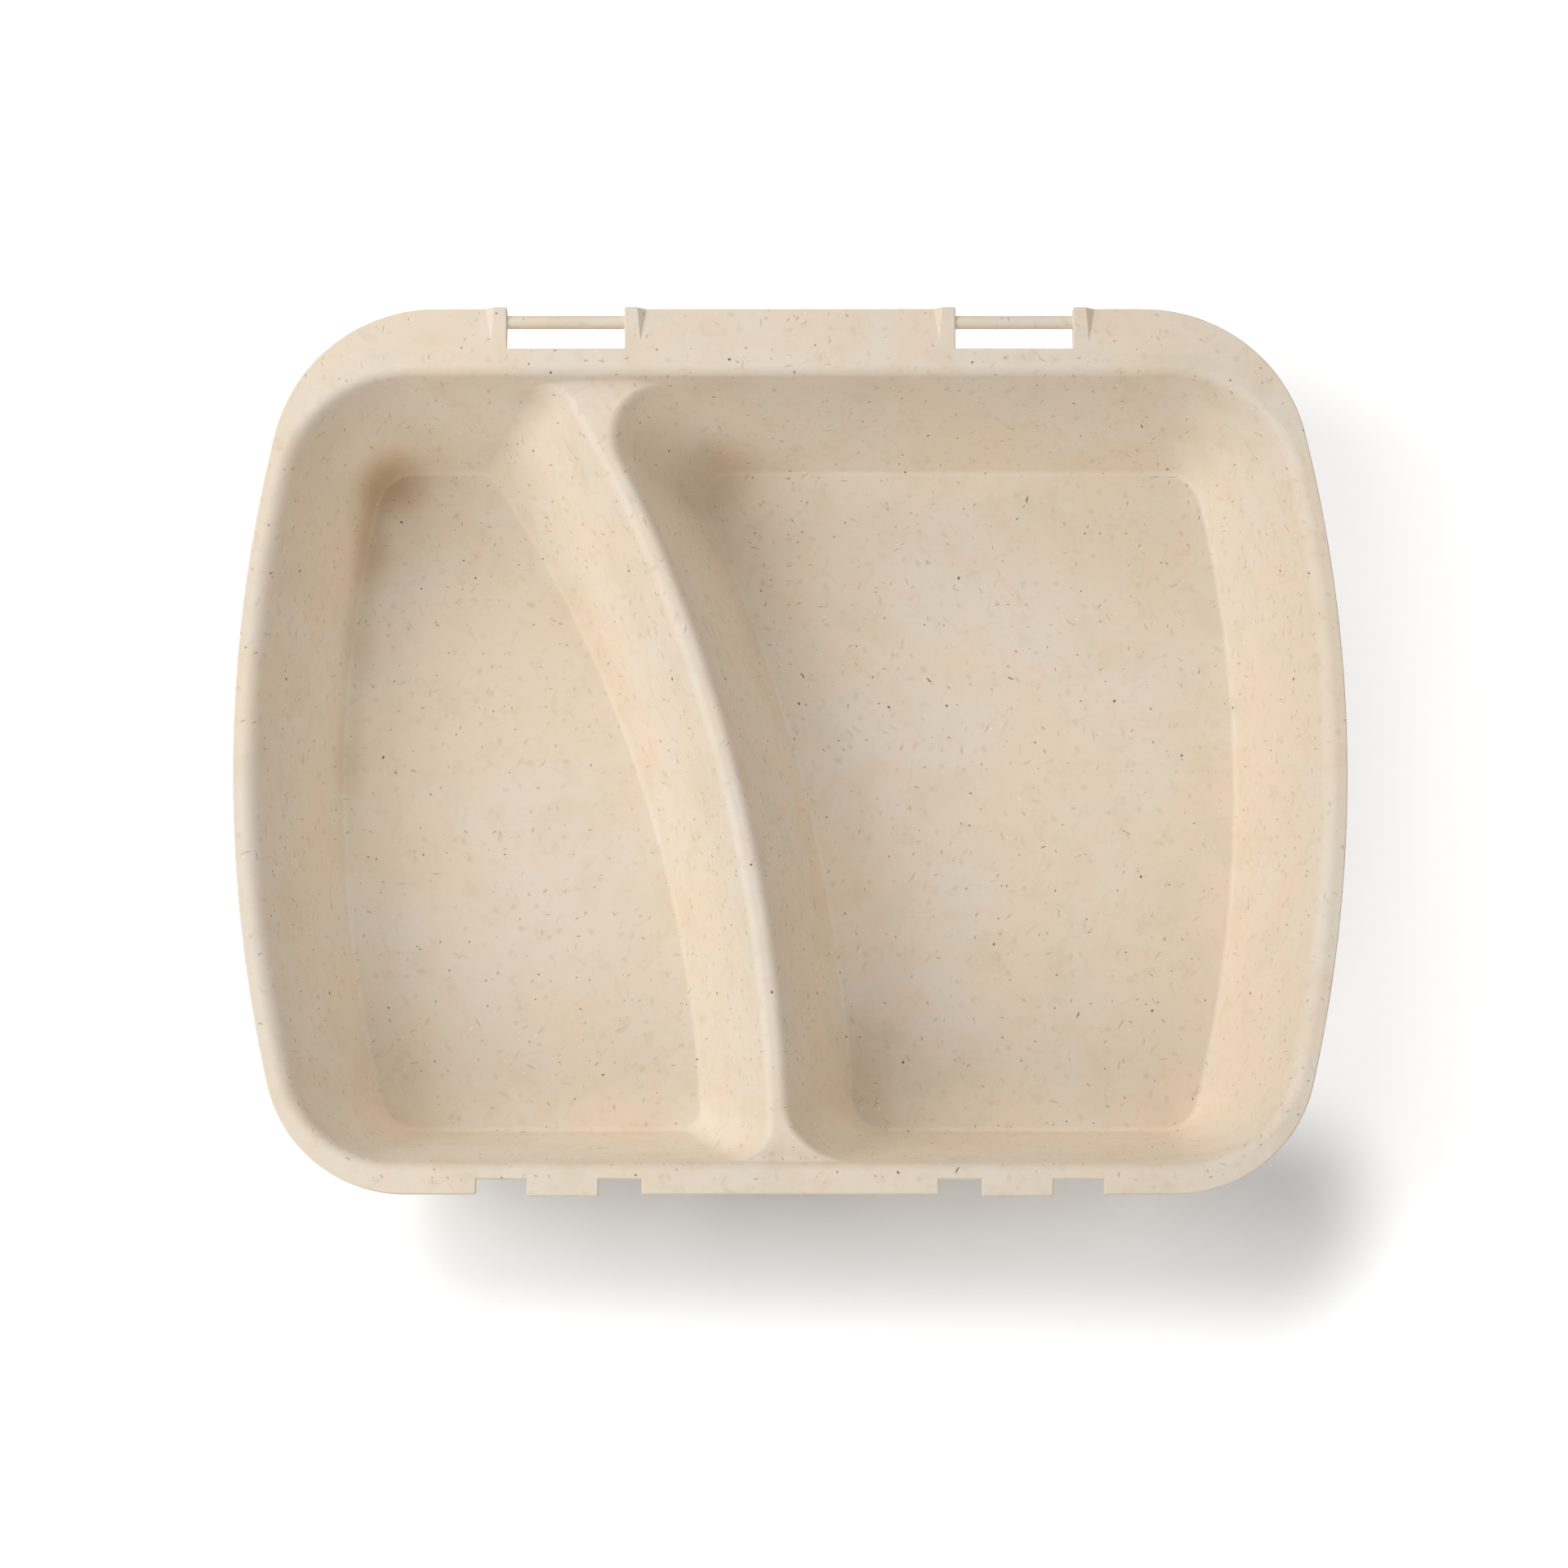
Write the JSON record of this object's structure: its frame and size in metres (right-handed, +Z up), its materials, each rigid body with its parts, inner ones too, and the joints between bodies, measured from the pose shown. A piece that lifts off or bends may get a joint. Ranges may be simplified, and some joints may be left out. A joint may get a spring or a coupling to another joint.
{
  "type": "reusable meal container base tray",
  "caption": "One-piece moulded meal tray with a curved divider, a flat rim, hinge bars at the back and snap notches at the front.",
  "frame": {"origin": "middle of the tray's outline, at the level of its underside, which stands on z = 0", "axes": "+X to the right across the width, with the small compartment on -X; +Y towards the hinge side; +Z up, out of the open compartments"},
  "size_m": [0.2398, 0.1938, 0.0416],
  "materials": {
    "fibre_plastic": "matte, speckled with small dark plant fibres and cloudy beige mottling"
  },
  "bodies": {
    "root": {"tray": "fibre_plastic"}
  },
  "joints": []
}
